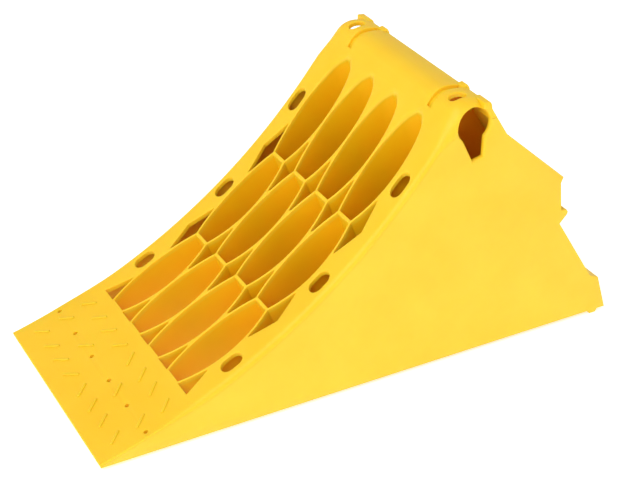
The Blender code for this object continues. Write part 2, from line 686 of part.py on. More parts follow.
def rib(name, y):
    """Upright rib between the pockets' rear walls and the rear wall."""
    clear = 2 * GAP
    x, z = ramp_at_u(LATTICE_END + clear, SKIN + clear)
    outline = [(x, z)]
    start = ramp_angle(x, z)
    depth = SKIN + clear
    for sx, sz, angle in crest_stations(start)[1:]:
        px, pz = sx + depth * math.sin(angle), sz - depth * math.cos(angle)
        before_x, before_z = outline[-1]
        spare = rear_x(before_z, depth) - before_x
        past = px - rear_x(pz, depth)
        if past > 0:
            share = spare / (spare + past)
            outline.append((before_x + share * (px - before_x), before_z + share * (pz - before_z)))
            break
        outline.append((px, pz))
    top_z = outline[-1][1]
    base_z = POCKET_FLOOR
    foot_x = LEDGE_X - SKIN - clear
    outline += [(rear_x(top_z - SKIN, depth), top_z - SKIN),
                (rear_x(LEDGE_Z + SKIN, depth), LEDGE_Z + SKIN),
                (foot_x - SKIN, LEDGE_Z - SKIN), (foot_x, base_z), floor_at_u(LATTICE_END + clear, base_z)]
    plank(name, outline, between(y - RIB / 2), between(y + RIB / 2), "wall")


def build():
    """Make every member of the moulding."""
    toe_plate()
    toe_rib()
    for row in range(ROWS):
        for column in range(COLUMNS):
            pocket_cell(row, column)
    pair("rail", rail, "deck", [("rail_slots", rail_slots, "DIFFERENCE"),
                                ("rail_notches", rail_notches, "DIFFERENCE")])
    crest()
    pair("ear", ear, "deck", [("ear_finger", ear_finger, "UNION"), ("ear_flange", ear_flange, "UNION"),
                              ("ear_corner", ear_corner, "UNION"), ("ear_keyhole", keyhole, "DIFFERENCE"),
                              ("ear_cord_hole", ear_cord_hole, "DIFFERENCE")])
    pair("side_wall", side_wall, "wall", [("keyhole", keyhole, "DIFFERENCE")])
    rear_wall()
    grip_hood()
    grip_sill()
    heel()
    for name, y in (("left_rear_rib", GROOVE_CENTRE), ("right_rear_rib", -GROOVE_CENTRE)):
        rib(name, y)


build()
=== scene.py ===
"""Wheel chock, dressed as the seamless yellow moulding that it is.

The frame brings the chock's members as plain solids. Here each of them is replaced by a finer one:
the ramp plate with rounded openings, twelve pocket tubes under it, the two side walls with their
keyholes, and the rear with its hand window, hood, sill, heel and ribs.

Side views are written as (x, z) in metres, x from the toe tip and z from the side walls' lower
edge. The ramp plate is laid out flat first, as (t, y, -depth): t runs up the ramp, square to the
direction in which the mould's cores pull, and goes on as arc length over the crest.
"""

import logging
import math
from dataclasses import dataclass
from enum import Enum
from functools import cached_property, partial
from typing import Callable, Optional

import bmesh
import bpy
from mathutils import Matrix, Vector

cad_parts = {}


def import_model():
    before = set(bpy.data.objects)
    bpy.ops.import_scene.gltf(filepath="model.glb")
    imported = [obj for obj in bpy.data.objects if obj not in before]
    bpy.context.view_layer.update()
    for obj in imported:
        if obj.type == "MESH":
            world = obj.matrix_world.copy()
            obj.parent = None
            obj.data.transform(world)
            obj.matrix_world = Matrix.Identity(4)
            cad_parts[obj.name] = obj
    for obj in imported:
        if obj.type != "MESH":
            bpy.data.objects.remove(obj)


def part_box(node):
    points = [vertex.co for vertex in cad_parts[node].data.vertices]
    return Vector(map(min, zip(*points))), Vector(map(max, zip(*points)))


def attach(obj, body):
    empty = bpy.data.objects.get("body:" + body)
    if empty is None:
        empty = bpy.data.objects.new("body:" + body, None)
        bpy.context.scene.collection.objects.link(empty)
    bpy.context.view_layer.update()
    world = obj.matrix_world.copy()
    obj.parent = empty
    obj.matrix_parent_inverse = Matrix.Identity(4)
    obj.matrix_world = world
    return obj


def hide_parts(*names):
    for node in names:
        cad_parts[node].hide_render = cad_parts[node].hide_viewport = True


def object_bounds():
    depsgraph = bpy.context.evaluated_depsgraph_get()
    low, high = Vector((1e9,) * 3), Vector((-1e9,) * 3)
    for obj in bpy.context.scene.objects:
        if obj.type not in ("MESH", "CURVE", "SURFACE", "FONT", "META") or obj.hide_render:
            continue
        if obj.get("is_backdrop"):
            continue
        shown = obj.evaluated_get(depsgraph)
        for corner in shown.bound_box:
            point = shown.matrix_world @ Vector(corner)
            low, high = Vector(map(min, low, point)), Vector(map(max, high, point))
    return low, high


LOG = logging.getLogger("wheel_chock")
Point = tuple[float, float]
Triple = tuple[float, float, float]
Outline = list[Point]
Rings = list[list[Vector]]
Mesh = bmesh.types.BMesh
Thing = bpy.types.Object
Face = Callable[[float], float]         # y of an upright face as a function of height
ROOT = "root"
SIZE_DIGITS = 6                 # of metres, so that the frame's noise stays out of the cuts
FINE = 0.00002                  # merging distance for vertices that should be one
FLOOR = 0.002                   # height at which pockets and ribs end, above the walls' lower edge
MITRE_LIMIT = 0.45              # keeps the corners of a grown outline from running away
SHARP = math.radians(32)        # an edge that turns more than this is drawn sharp


class Side(Enum):
    """The two sides of the chock, with the sign of their y."""

    LEFT = 1
    RIGHT = -1

    @property
    def word(self) -> str:
        """Name of the side as it stands in piece names."""
        return self.name.lower()


# ---- shape of the chock ----
@dataclass(frozen=True)
class Profile:
    """Side profile of the chock, placed in the frame.

    Attributes:
        toe_x: Frame x of the toe tip.
        ground_z: Frame z of the side walls' lower edge.
        length: Toe tip to heel.
        half_width: Half of the width at the ground.
        crest_height: Crest's top above the walls' lower edge.
        toe_edge: Height of the ramp's surface at the toe tip.
        toe_slope: Slope of the ramp there.
        draw_angle: How far the mould's cores pull off the upright.
        skin: Thickness of the plate and the rear wall.
    """

    toe_x: float
    ground_z: float
    length: float
    half_width: float
    crest_height: float
    toe_edge: float = 0.0032
    toe_slope: float = math.radians(14.68)
    wheel_radius: float = 0.530
    crest_radius: float = 0.017
    back_radius: float = 0.0506
    wall_lean: float = 0.008
    draw_angle: float = math.radians(20)
    rear_slope: float = math.radians(58.6)
    heel_height: float = 0.0326
    heel_taper: float = 0.010
    ledge_run: float = 0.009
    ledge_rise: float = 0.0044
    skin: float = 0.004
    wall: float = 0.0036
    toe_strips: Point = (0.001, 0.004)              # first bends after the toe tip
    pitches: Triple = (0.007, 0.00105, 0.0026)      # of bends: ramp, round, rear arc

    @cached_property
    def arc_centre(self) -> Point:
        """Centre of the tyre circle that the ramp follows."""
        return (-self.wheel_radius * math.sin(self.toe_slope),
                self.toe_edge + self.wheel_radius * math.cos(self.toe_slope))

    @cached_property
    def crest_angle(self) -> float:
        """Slope at which the ramp passes into the crest's round."""
        rise = self.arc_centre[1] - self.crest_height + self.crest_radius
        return math.acos(rise / (self.wheel_radius + self.crest_radius))

    @cached_property
    def crest_x(self) -> float:
        """x of the crest's highest line."""
        return self.arc_centre[0] + (self.wheel_radius + self.crest_radius) * math.sin(self.crest_angle)

    @cached_property
    def ledge(self) -> Point:
        """Side point where the rear wall meets the ledge over the heel."""
        return self.length - self.heel_taper - self.ledge_run, self.heel_height + self.ledge_rise

    @cached_property
    def back_angle(self) -> float:
        """Slope, negative, at which the crest's rear arc meets the rear wall."""
        low, high = -math.pi / 2, 0.0
        for _ in range(40):
            middle = (low + high) / 2
            x = self.crest_x - self.back_radius * math.sin(middle)
            z = self.crest_height - self.back_radius * (1 - math.cos(middle))
            low, high = (middle, high) if x > self.rear_x(z) else (low, middle)
        return (low + high) / 2

    @cached_property
    def start(self) -> float:
        """t of the toe tip."""
        return self.toe_edge * math.sin(self.draw_angle)

    @cached_property
    def ramp_end(self) -> float:
        """t where the ramp passes into the crest's round."""
        x = self.arc_centre[0] + self.wheel_radius * math.sin(self.crest_angle)
        z = self.arc_centre[1] - self.wheel_radius * math.cos(self.crest_angle)
        return x * math.cos(self.draw_angle) + z * math.sin(self.draw_angle)

    @cached_property
    def top(self) -> float:
        """t of the crest's highest line."""
        return self.ramp_end + self.crest_radius * self.crest_angle

    @cached_property
    def end(self) -> float:
        """t of the edge between the crest and the rear wall."""
        return self.top - self.back_radius * self.back_angle

    def rear_x(self, z: float, depth: float = 0.0) -> float:
        """x of the rear wall's plane at height z, a depth below its outer face."""
        ledge_x, ledge_z = self.ledge
        return ledge_x - (z - ledge_z) / math.tan(self.rear_slope) - depth / math.sin(self.rear_slope)

    def reach(self, z: float) -> float:
        """Half of the width over the side walls at height z."""
        return self.half_width - self.wall_lean * max(z, 0.0)

    def ramp_z(self, x: float, depth: float = 0.0) -> float:
        """Height of the ramp at x, a depth below its surface."""
        centre_x, centre_z = self.arc_centre
        return centre_z - math.sqrt((self.wheel_radius + depth) ** 2 - (x - centre_x) ** 2)

    def station(self, t: float) -> Triple:
        """Surface point and slope at t.

        Args:
            t: Place along the ramp and the crest.

        Returns:
            x, z and the surface's slope there.
        """
        if t <= self.ramp_end:
            sin_d, cos_d = math.sin(self.draw_angle), math.cos(self.draw_angle)
            cx, cz = self.arc_centre
            u, w = cx * cos_d + cz * sin_d, cz * cos_d - cx * sin_d
            w -= math.sqrt(self.wheel_radius ** 2 - (t - u) ** 2)
            x, z = t * cos_d - w * sin_d, t * sin_d + w * cos_d
            return x, z, math.atan2(x - cx, cz - z)
        if t <= self.top:
            angle = self.crest_angle - (t - self.ramp_end) / self.crest_radius
            radius = self.crest_radius
        else:
            angle = -(t - self.top) / self.back_radius
            radius = self.back_radius
        return (self.crest_x - radius * math.sin(angle),
                self.crest_height - radius * (1 - math.cos(angle)), angle)

    def below(self, t: float, depth: float) -> Point:
        """Side point a depth below the surface at t, never under the walls' lower edge."""
        x, z, angle = self.station(t)
        lean = min(self.draw_angle, angle)
        depth = min(depth, max(z, 0.0) / math.cos(lean))
        return x + depth * math.sin(lean), z - depth * math.cos(lean)

    def row(self, x: float, y: float, z: float) -> Vector:
        """Frame place of a side point at y."""
        return Vector((x + self.toe_x, y, z + self.ground_z))

    def place(self, t: float, y: float, depth: float) -> Vector:
        """Frame place of a point of the flat layout."""
        x, z = self.below(t, depth)
        return self.row(x, y, z)

    def stations(self) -> list[float]:
        """Values of t at which the plate is bent, closer together over the crest."""
        found = [self.start + self.toe_strips[0]]
        ends = (self.start + self.toe_strips[1], self.ramp_end, self.top, self.end)
        for first, last, pitch in zip(ends, ends[1:], self.pitches):
            steps = max(2, round((last - first) / pitch))
            found += [first + (last - first) * step / steps for step in range(steps + (last == self.end))]
        return found


def smooth_step(value: float, low: float, high: float) -> float:
    """Rise from 0 at low to 1 at high with level ends."""
    share = min(1.0, max(0.0, (value - low) / (high - low)))
    return share * share * (3 - 2 * share)


# ---- mesh helpers ----
def add_ring(mesh: Mesh, points: list[Vector]) -> list[bmesh.types.BMEdge]:
    """Add a closed ring of edges through points."""
    verts = [mesh.verts.new(point) for point in points]
    return [mesh.edges.new((verts[i - 1], verts[i])) for i in range(len(verts))]


def skin_rings(mesh: Mesh, rings: Rings) -> tuple[list, list]:
    """Join rings of equal length by walls.

    Args:
        mesh: The mesh that takes them.
        rings: Rings of points, in order.

    Returns:
        The edges of the first and of the last ring.
    """
    edges = [add_ring(mesh, points) for points in rings]
    for first, second in zip(edges, edges[1:]):
        bmesh.ops.bridge_loops(mesh, edges=first + second)
    return edges[0], edges[-1]


def fill(mesh: Mesh, edges: list) -> None:
    """Fill a flat area bounded by rings of edges, leaving inner rings open."""
    bmesh.ops.triangle_fill(mesh, use_beauty=True, use_dissolve=False, edges=edges)


def grown(outline: Outline, distance: float | list[float]) -> Outline:
    """Move an anticlockwise outline outwards.

    Args:
        outline: Its points.
        distance: How far each side moves, or one value for each point.

    Returns:
        The moved points, in the same order.
    """
    moved = []
    count = len(outline)
    distances = distance if isinstance(distance, list) else [distance] * count
    for i, (a, b) in enumerate(outline):
        before, after = outline[i - 1], outline[(i + 1) % count]
        first = Vector((b - before[1], before[0] - a)).normalized()
        second = Vector((after[1] - b, a - after[0])).normalized()
        mitre = (first + second) / max(MITRE_LIMIT, 1 + first.dot(second))
        moved.append((a + distances[i] * mitre.x, b + distances[i] * mitre.y))
    return moved


def oval(centre: Point, length: float, width: float, steps: int = 10) -> Outline:
    """Anticlockwise outline of a slot with round ends, its length along the first axis."""
    radius = width / 2
    offset = max(length / 2 - radius, 0.0)
    points = []
    for sign, start in ((1, -math.pi / 2), (-1, math.pi / 2)):
        for step in range(steps + 1):
            angle = start + math.pi * step / steps
            points.append((centre[0] + sign * offset + radius * math.cos(angle),
                           centre[1] + radius * math.sin(angle)))
    return points


def round_steps(radius: float, count: int = 3) -> Outline:
    """Quarter round as (how far it still is outside the wall, depth), from the surface down."""
    turns = [math.pi / 2 * step / count for step in range(count + 1)]
    return [(radius * (1 - math.sin(turn)), radius * (1 - math.cos(turn))) for turn in turns]


def bevelled(mesh: Mesh, edges: list[bmesh.types.BMEdge], width: float) -> list:
    """Round edges, each once, and give the new vertices."""
    made = bmesh.ops.bevel(mesh, geom=list(dict.fromkeys(edges)), offset=width, offset_type="OFFSET",
                           affect="EDGES", segments=3, profile=0.5, clamp_overlap=True, material=-1)
    return made["verts"]


def level(y: float) -> Face:
    """An upright face that stays at one y."""
    return lambda z: y


def add_plank(mesh: Mesh, profile: Profile, outline: Outline, near: Face, far: Face,
              bevel: float = 0.0, ends: bool = False, kept: tuple[int, ...] = ()) -> None:
    """Add a solid with a side outline to a mesh, its long edges bevelled.

    Args:
        mesh: The mesh that takes it.
        profile: The chock's side profile, which places the points.
        outline: Side outline of the solid.
        near: Its first face.
        far: Its second face.
        bevel: Width of the bevel, or 0 for none.
        ends: Whether the edges round the two faces are bevelled as well.
        kept: Numbers of the outline's points whose long edges stay sharp.
    """
    rings = [[profile.row(x, face(z), z) for x, z in outline] for face in (near, far)]
    loops = [add_ring(mesh, points) for points in rings]
    walls = bmesh.ops.bridge_loops(mesh, edges=loops[0] + loops[1])["faces"]
    caps = [bmesh.ops.edgeloop_fill(mesh, edges=loop)["faces"][0] for loop in loops]
    bmesh.ops.recalc_face_normals(mesh, faces=walls + caps)
    if not bevel:
        return
    round_faces = loops[0] + loops[1]
    kept_places = [rings[0][number] for number in kept]
    edges = [edge for face in walls for edge in face.edges if edge not in round_faces
             and not any((vert.co - place).length < FINE for vert in edge.verts for place in kept_places)]
    bevelled(mesh, edges + (round_faces if ends else []), bevel)


def linked(name: str, data: bpy.types.ID) -> Thing:
    """Put an object with some data into the scene, at the origin."""
    thing = bpy.data.objects.new(name, data)
    bpy.context.scene.collection.objects.link(thing)
    return thing


def made_piece(name: str, mesh: Mesh) -> Thing:
    """Turn a bmesh into a shown object at the origin, smooth but for its sharp edges."""
    bmesh.ops.remove_doubles(mesh, verts=mesh.verts, dist=FINE)
    bmesh.ops.recalc_face_normals(mesh, faces=mesh.faces)
    data = bpy.data.meshes.new(name)
    mesh.to_mesh(data)
    mesh.free()
    data.shade_smooth()
    data.set_sharp_from_angle(angle=SHARP)
    return linked(name, data)


def capped_piece(name: str, rings: Rings) -> Thing:
    """Turn rings into a closed object whose first and last ring are filled."""
    mesh = bmesh.new()
    for edges in skin_rings(mesh, rings):
        fill(mesh, edges)
    return made_piece(name, mesh)


def carve(piece: Thing, cutter: Thing) -> None:
    """Cut one solid out of a piece and leave the result as its mesh."""
    modifier = piece.modifiers.new("cut", "BOOLEAN")
    modifier.operation = "DIFFERENCE"
    modifier.solver = "EXACT"
    modifier.object = cutter
    graph = bpy.context.evaluated_depsgraph_get()
    cut = bpy.data.meshes.new_from_object(piece.evaluated_get(graph))
    piece.modifiers.clear()
    piece.data = cut
    cut.set_sharp_from_angle(angle=SHARP)


# ---- finishes, two of them painted shade ----
def linear(code: str) -> tuple[float, float, float, float]:
    """Turn an sRGB hex colour into linear RGBA."""
    parts = [int(code[i:i + 2], 16) / 255 for i in (1, 3, 5)]
    lines = [p / 12.92 if p <= 0.04045 else ((p + 0.055) / 1.055) ** 2.4 for p in parts]
    return lines[0], lines[1], lines[2], 1.0


def add_node(tree: bpy.types.NodeTree, kind: str, settings: Optional[dict] = None,
             values: Optional[dict] = None, links: Optional[dict] = None) -> bpy.types.Node:
    """Add a shader node.

    Args:
        tree: The material's node tree.
        kind: The node's type.
        settings: Its own properties.
        values: Values of its inputs, by name or number.
        links: Output sockets that feed its inputs, by name or number.

    Returns:
        The node.
    """
    node = tree.nodes.new(kind)
    for key, value in (settings or {}).items():
        setattr(node, key, value)
    set_inputs(node, values or {})
    for key, socket in (links or {}).items():
        tree.links.new(socket, node.inputs[key])
    return node


def set_inputs(node: bpy.types.Node, values: dict) -> None:
    """Set a node's inputs, by name or number."""
    for key, value in values.items():
        node.inputs[key].default_value = value


@dataclass(frozen=True)
class MouldedPolyethylene:
    """Injection-moulded yellow HDPE with a fine eroded texture: satin, waxy and a little see-through.

    The waxy depth is a weak scattering under the surface. A faint mottle, as from pigment that is
    spread unevenly, varies the colour.
    """

    name: str
    pale: str
    deep: str
    roughness: float = 0.46
    mottle_size: float = 0.045      # m, cloudy change of tint
    grain_size: float = 0.0007      # m, eroded texture, drawn coarser than real so that it shows
    grain_height: float = 0.00003
    grain_strength: float = 0.35
    gloss_spread: Point = (-0.04, 0.06)
    mottle_range: Point = (0.35, 0.65)
    refraction: float = 1.54
    specular: float = 0.30
    scatter: float = 0.35
    scatter_radius: Triple = (1.0, 0.42, 0.03)
    scatter_scale: float = 0.006

    def build(self) -> bpy.types.Material:
        """Make the material."""
        material = bpy.data.materials.new(self.name)
        material.use_nodes = True
        tree = material.node_tree
        shader = tree.nodes["Principled BSDF"]
        where = add_node(tree, "ShaderNodeTexCoord").outputs["Object"]
        cloud = add_node(tree, "ShaderNodeTexNoise", values={"Scale": 1 / self.mottle_size, "Detail": 3.0},
                         links={"Vector": where})
        low, high = self.mottle_range
        share = add_node(tree, "ShaderNodeMapRange", values={"From Min": low, "From Max": high},
                         links={"Value": cloud.outputs["Fac"]})
        tint = add_node(tree, "ShaderNodeMix", {"data_type": "RGBA"},
                        {6: linear(self.pale), 7: linear(self.deep)}, {"Factor": share.outputs["Result"]})
        tree.links.new(tint.outputs[2], shader.inputs["Base Color"])
        grain = add_node(tree, "ShaderNodeTexNoise", values={"Scale": 1 / self.grain_size, "Detail": 2.0},
                         links={"Vector": where})
        low, high = (self.roughness + shift for shift in self.gloss_spread)
        gloss = add_node(tree, "ShaderNodeMapRange", values={"To Min": low, "To Max": high},
                         links={"Value": grain.outputs["Fac"]})
        tree.links.new(gloss.outputs["Result"], shader.inputs["Roughness"])
        bump = add_node(tree, "ShaderNodeBump",
                        values={"Strength": self.grain_strength, "Distance": self.grain_height},
                        links={"Height": grain.outputs["Fac"]})
        tree.links.new(bump.outputs["Normal"], shader.inputs["Normal"])
        set_inputs(shader, {"IOR": self.refraction, "Specular IOR Level": self.specular,
                            "Subsurface Weight": self.scatter, "Subsurface Radius": self.scatter_radius,
                            "Subsurface Scale": self.scatter_scale})
        return material


class FinishesAndPaintedShade:
    """The tints of the one plastic, and two deeper orange copies of it, pocket and inside, that are painted
    shade for the hollows.
    """

    def __init__(self) -> None:
        """Build the materials."""
        # pocket and inside are painted shade: deeper, more orange copies of the yellow for the pockets' walls
        # and the hollow inside, where light bounces and dims.
        tints_with_painted_shade = {"deck": ("#F3C524", "#F1C11C"), "pocket": ("#F8C005", "#F6BA03"),
                 "wall": ("#F2C72C", "#F0C224"), "inside": ("#F79A02", "#F48E01")}
        self.materials = {name: MouldedPolyethylene("moulded_yellow_" + name, *pair).build()
                          for name, pair in tints_with_painted_shade.items()}

    def dress(self, piece: Thing, finish: str, nodes: list[str], tint: str = "") -> None:
        """Finish a piece and let it stand for CAD nodes.

        Args:
            piece: The piece.
            finish: Name of its finish.
            nodes: CAD nodes that it stands for.
            tint: Another finish whose material it wears, if any, such as the deep orange painted shade of the
                inside.
        """
        piece.data.materials.clear()
        # With the pocket or inside finish, the piece's colour carries painted shade.
        piece.data.materials.append(self.materials[tint or finish])
        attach(piece, ROOT)
        if nodes:
            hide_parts(*nodes)
        LOG.info("%s: %d faces, stands for %s", piece.name, len(piece.data.polygons), nodes)


# ---- lattice of pockets ----
@dataclass(frozen=True)
class Lattice:
    """Layout of the lens-shaped pockets in the flat plane, shared by the deck and the pocket tubes."""

    start: float = 0.0850
    row_pitch: float = 0.0895
    rows: int = 3
    column_pitch: float = 0.0377
    columns: int = 4
    half_width: float = 0.0177
    end_half_width: float = 0.0090
    tip_half_width: float = 0.0072
    end_web: float = 0.0026
    web: float = 0.0019
    tip_round: float = 0.009        # length over which the highest pockets close
    tip_close: float = 0.85         # share of the width's square that they lose there
    tip_edge: float = 0.0030        # radius of their upper edge near the crest
    tip_edge_full: float = 0.008    # how far before the lattice's end that radius is reached
    edge: float = 0.0006            # radius of every other edge
    gap_tip: float = 0.0014         # half width at which a gap's pointed end starts
    gap_point: float = 0.0018       # length of that pointed end
    gap_blunt: float = FINE * 10    # half width at its very end
    gap_lead: float = 0.0004        # start of the first gaps after the lattice's start
    gap_steps: int = 6
    gap_halvings: int = 30
    steps: int = 16

    @property
    def end(self) -> float:
        """t of the lattice's upper end."""
        return self.start + self.rows * self.row_pitch

    @property
    def half(self) -> float:
        """y of the lattice's outer edge."""
        return self.columns * self.column_pitch / 2

    def column_y(self, column: int) -> float:
        """y of a column's middle."""
        return (column - (self.columns - 1) / 2) * self.column_pitch

    def half_width_at(self, row: int, t: float) -> float:
        """Half of a pocket's width at t, inside its walls."""
        half_length = (self.row_pitch - self.end_web) / 2
        distance = t - self.start - (row + 0.5) * self.row_pitch
        upper_tip = distance > 0 and row == self.rows - 1
        drop = self.half_width - (self.tip_half_width if upper_tip else self.end_half_width)
        radius = (half_length ** 2 + drop ** 2) / (2 * drop)
        return self.half_width - radius + math.sqrt(radius ** 2 - distance ** 2)

    def pocket(self, row: int, column: int) -> Outline:
        """Anticlockwise outline of a pocket's opening."""
        low = self.start + row * self.row_pitch + self.end_web / 2
        high = low + self.row_pitch - self.end_web
        middle = self.column_y(column)
        side = []
        for step in range(self.steps + 1):
            t = low + (high - low) * step / self.steps
            half = self.half_width_at(row, t)
            if row == self.rows - 1 and t > high - self.tip_round:
                share = (t - high + self.tip_round) / self.tip_round
                half *= math.sqrt(max(0.0, 1 - self.tip_close * share ** 2))
            side.append((t, half))
        right = [(t, middle - half) for t, half in side]
        left = [(t, middle + half) for t, half in reversed(side)]
        return right + left

    def pocket_edges(self, row: int, outline: Outline) -> list[float]:
        """Radius of a pocket's upper edge at each point of its outline."""
        if row < self.rows - 1:
            return [self.edge] * len(outline)
        soft = self.end - self.row_pitch / 2
        full = self.end - self.tip_edge_full
        return [self.edge + (self.tip_edge - self.edge) * smooth_step(t, soft, full) for t, _ in outline]

    def gap_half(self, t: float) -> float:
        """Half of the width left between two columns' walls at t, between the pockets."""
        row = min(self.rows - 1, max(0, int((t - self.start) / self.row_pitch)))
        return self.column_pitch / 2 - self.half_width_at(row, t) - self.web

    def gap_reach(self, boundary: float, direction: int) -> float:
        """How far a gap runs from a row boundary until its sides come together."""
        low, high = 0.0, self.row_pitch / 2
        for _ in range(self.gap_halvings):
            middle = (low + high) / 2
            open_there = self.gap_half(boundary + direction * middle) > self.gap_tip
            low, high = (middle, high) if open_there else (low, middle)
        return low

    def gap_side(self, index: int) -> Outline:
        """One side of the gap at a row boundary, as (t, half of its width), from toe to heel."""
        boundary = self.start + index * self.row_pitch
        points = []
        if index:
            reach = self.gap_reach(boundary, -1)
            points.append((boundary - reach - self.gap_point, self.gap_blunt))
            places = [boundary - reach * (1 - step / self.gap_steps) for step in range(self.gap_steps)]
            points += [(t, self.gap_half(t)) for t in places]
        reach = self.gap_reach(boundary, 1)
        first = boundary + (0.0 if index else self.gap_lead)
        places = [first + reach * step / self.gap_steps for step in range(self.gap_steps + 1)]
        points += [(t, self.gap_half(t)) for t in places]
        return points + [(first + reach + self.gap_point, self.gap_blunt)]

    def gaps(self) -> list[Outline]:
        """Anticlockwise outlines of the gaps between the pockets, with the notches in the rails."""
        found = []
        for index in range(self.rows):
            side = self.gap_side(index)
            widest = max(side, key=lambda point: point[1])
            for line in range(self.columns + 1):
                y = (line - self.columns / 2) * self.column_pitch
                right = [(t, y - half) for t, half in side]
                left = [(t, y + half) for t, half in side]
                straight = [side[0], widest, side[-1]] if index else [widest, side[-1]]
                if line == 0:
                    right = [(t, y - half) for t, half in straight]
                if line == self.columns:
                    left = [(t, y + half) for t, half in straight]
                found.append(right + left[::-1])
        return found


# ---- ramp plate ----
@dataclass
class RampDeck:
    """Toe plate, rails, crest and ears: one bent plate with a rounded, turned-down edge."""

    profile: Profile
    lattice: Lattice
    slot: Point = (0.0195, 0.013)           # length and width
    slot_inset: float = 0.0037
    slot_shift: float = -0.0022
    slot_round: float = 0.0008
    hole_start: Point = (0.0407, 0.0055)    # x of the drain holes, and what is added to their t
    hole_row: Point = (0.0187, 0.0374)      # their first y and their pitch
    hole_count: int = 3                     # on each side
    hole_radius: float = 0.0019
    hole_round: float = 0.0003
    cord_hole: Point = (0.015, 0.009)       # length and width
    cord_inset: float = 0.020
    cord_round: float = 0.0012
    cord_shift: float = -0.0015
    groove: Point = (0.0600, 0.0660)        # |y| of its two edges
    groove_ends: Point = (0.0045, 0.003)    # ahead of the crest's round, and before the plate's end
    groove_depth: float = 0.0030
    groove_round: float = 0.0005
    toe_edge_radius: float = 0.0012
    rail_edge_radius: float = 0.0050
    ear_edge_radius: float = 0.0138
    rail_rise: Point = (0.045, 0.105)       # t between which the rails' radius is reached
    ear_rise: Point = (0.016, 0.002)        # the ears' likewise, before the lattice's and after the ramp's end
    front_radius: float = 0.0007
    edge_steps: int = 7
    skirt: float = 0.0006                   # straight part of the turned-down edge
    toe_steps: Point = (0.0004, 0.0008)     # how far the two inner rings stand back at the toe
    under_step: float = 0.0001
    under_share: float = 0.62               # least inset of the underside, as a share of the edge's radius
    bar: Triple = (0.0145, 0.0024, 0.0011)  # a grip bar's length, width and height
    bar_round: float = 0.0009
    bar_turn: float = math.radians(42)
    bar_rows: tuple = ((0.020, (0.012, 0.035, 0.057, 0.081)), (0.042, (0.0345, 0.080)),
                       (0.063, (0.011, 0.035, 0.0565, 0.0805)))     # x, and |y| of each bar

    def edge_radius(self, t: float) -> float:
        """Radius of the plate's outer edge at t."""
        rail = self.rail_edge_radius - self.toe_edge_radius
        ear = self.ear_edge_radius - self.rail_edge_radius
        before, after = self.ear_rise
        return (self.toe_edge_radius + rail * smooth_step(t, *self.rail_rise)
                + ear * smooth_step(t, self.lattice.end - before, self.profile.ramp_end + after))

    def skirt_depth(self, t: float) -> float:
        """Depth of the turned-down edge's lower end, where the side wall takes over."""
        return self.edge_radius(t) + self.skirt

    def edge_point(self, share: float, t: float, side: Side, toe: bool) -> Vector:
        """Flat point on the rounded outer edge.

        Args:
            share: 0 where the round starts, 1 where it meets the side wall's plane.
            t: Place along the plate.
            side: Which edge.
            toe: Whether it is a corner of the toe, whose front has its own small round.

        Returns:
            The point as (t, y, -depth).
        """
        radius = self.edge_radius(t)
        turn = math.pi / 2 * share
        outside, down = 1 - math.sin(turn), 1 - math.cos(turn)
        depth = radius * down
        y = side.value * (self.profile.reach(self.profile.below(t, depth)[1]) - radius * outside)
        if toe:
            return Vector((self.profile.start + self.front_radius * outside, y, -self.front_radius * down))
        return Vector((t, y, -depth))

    def lower_point(self, inset: float, toe_step: float, skirt: bool,
                    t: float, side: Side, toe: bool) -> Vector:
        """Flat point below the rounded edge.

        Args:
            inset: How far it lies inside the wall's outer face.
            toe_step: How far it stands back at the toe.
            skirt: Whether it lies on the skirt's lower end, not on the underside.
            t: Place along the plate.
            side: Which edge.
            toe: Whether it is a corner of the toe.

        Returns:
            The point as (t, y, -depth).
        """
        skin = self.profile.skin
        depth = self.skirt_depth(t) if skirt and not toe else skin
        place = self.profile.start + toe_step if toe else t
        inward = max(inset, self.under_share * self.edge_radius(t) * (depth <= skin)) if inset else 0.0
        reach = self.profile.reach(self.profile.below(place, depth)[1])
        return Vector((place, side.value * (reach - inward), -depth))

    def outer_rings(self) -> Rings:
        """Rings of the plate's edge: round, skirt, the skirt's inner side and the underside."""
        wall, stations = self.profile.wall, self.profile.stations()
        makers = [partial(self.edge_point, step / self.edge_steps) for step in range(self.edge_steps + 1)]
        makers += [partial(self.lower_point, 0.0, 0.0, True),
                   partial(self.lower_point, wall, self.toe_steps[0], True),
                   partial(self.lower_point, wall + self.under_step, self.toe_steps[1], False)]
        rings = []
        for make in makers:
            right, left = ([make(t, side, i == 0) for i, t in enumerate(stations)]
                           for side in (Side.RIGHT, Side.LEFT))
            rings.append(right + left[::-1])
        return rings

    def opening_rings(self, outline: Outline, radii: list[float], floor: float) -> Rings:
        """Rings of an opening with a rounded upper edge, down to a depth.

        Args:
            outline: The opening, anticlockwise.
            radii: Radius of its upper edge at each point.
            floor: Depth at which it ends.

        Returns:
            The rings from the surface down.
        """
        rings = []
        for outside, down in round_steps(1.0, 4):
            moved = grown(outline, [radius * outside for radius in radii])
            rings.append([Vector((t, y, -radius * down)) for (t, y), radius in zip(moved, radii)])
        rings.append([Vector((t, y, -floor)) for t, y in outline])
        return rings

    def openings(self) -> list[tuple[Outline, list[float]]]:
        """Outlines of everything that goes through the plate, with the radii of their edges."""
        lattice, profile = self.lattice, self.profile
        found = []
        for row in range(lattice.rows):
            for column in range(lattice.columns):
                outline = lattice.pocket(row, column)
                found.append((outline, lattice.pocket_edges(row, outline)))

        def add(outline: Outline, radius: float) -> None:
            """Take an opening whose edge has one radius."""
            found.append((outline, [radius] * len(outline)))

